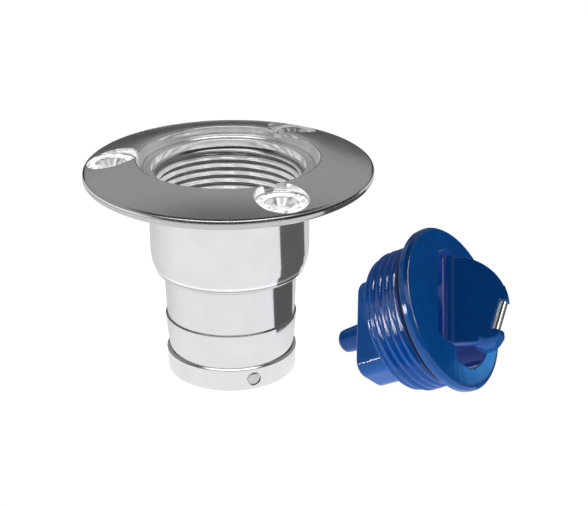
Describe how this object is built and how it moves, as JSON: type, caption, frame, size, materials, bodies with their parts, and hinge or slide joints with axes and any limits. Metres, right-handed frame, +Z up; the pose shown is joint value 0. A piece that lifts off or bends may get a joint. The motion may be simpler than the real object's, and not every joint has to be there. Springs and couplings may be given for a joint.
{
  "type": "deck fill with cap",
  "caption": "Round deck filler: domed screw-down flange, threaded neck and barbed hose tail, with a loose screw cap that has a fold-away handle.",
  "frame": {"origin": "filler's bore axis where it meets the flange underside, the face that sits on the deck", "axes": "+Z up along the filler's bore, out of the deck; one screw hole lies on +Y; the loose cap lies on the +X side with its face turned away from the filler"},
  "size_m": [0.1286, 0.0925, 0.0705],
  "materials": {
    "polished_steel": "mirror-polished stainless steel with fine scratches",
    "steel_pins": "drawn stainless steel rod",
    "blue_moulding": "glossy injection-moulded plastic",
    "blue_stud": "glossy moulded plastic, slightly darker",
    "black_rubber": "matt nitrile rubber"
  },
  "bodies": {
    "filler": {"flange_body": "polished_steel", "hose_tail": "polished_steel", "anchor_pin": "steel_pins"},
    "swivel": {"swivel_stud": "blue_stud"},
    "cap": {"cap_body": "blue_moulding", "cap_seal": "black_rubber", "hinge_pin": "steel_pins"},
    "handle": {"handle_plate": "blue_moulding", "grip_bar": "steel_pins"}
  },
  "joints": [
    {"name": "cap_travel", "type": "slide", "parent": "filler", "child": "swivel", "axis": [0.8791, 0.0908, 0.4679], "range_m": [0, 0.0105]},
    {"name": "cap_turn", "type": "hinge", "parent": "swivel", "child": "cap", "pos_m": [0.0674, 0.0224, -0.03602], "axis": [0.8791, 0.0908, 0.4679], "range_deg": [0, 1476]},
    {"name": "handle_fold", "type": "hinge", "parent": "cap", "child": "handle", "pos_m": [0.06564, 0.02222, -0.03695], "axis": [0.3945, -0.6897, -0.6072], "range_deg": [-61, 29]}
  ],
  "couplings": [
    {"joint": "cap_travel", "follows": "cap_turn", "m_per_rad": 0.00040425}
  ]
}
